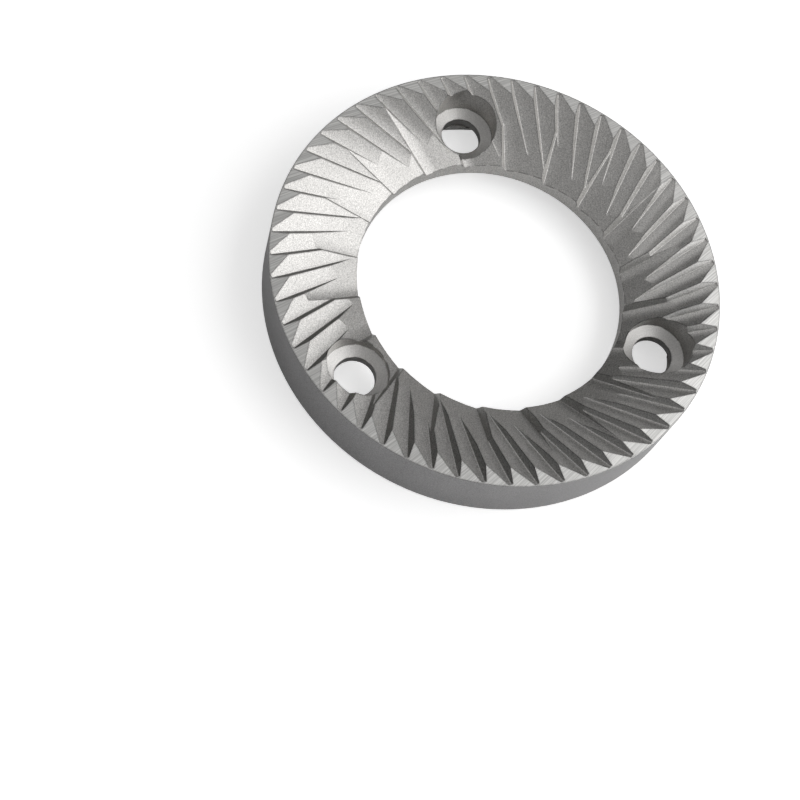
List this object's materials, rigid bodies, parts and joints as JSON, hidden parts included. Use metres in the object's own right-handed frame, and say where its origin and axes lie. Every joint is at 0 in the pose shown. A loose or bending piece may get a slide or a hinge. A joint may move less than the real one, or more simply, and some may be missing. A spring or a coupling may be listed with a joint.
{
  "type": "coffee grinder burr",
  "caption": "Flat ring burr for a coffee grinder: slanted fine and coarse grinding teeth on the face, screw seats through the ring, recessed back.",
  "frame": {"origin": "centre of the ring on the plane of its raised back seating rim", "axes": "+Z along the bore axis towards the toothed face; +X through the centre of one screw hole"},
  "size_m": [0.064, 0.064, 0.0095],
  "materials": {
    "steel": "hardened steel, satin ground grooves, bright ground lands, plain grey turned wall"
  },
  "bodies": {
    "root": {"burr": "steel"}
  },
  "joints": []
}
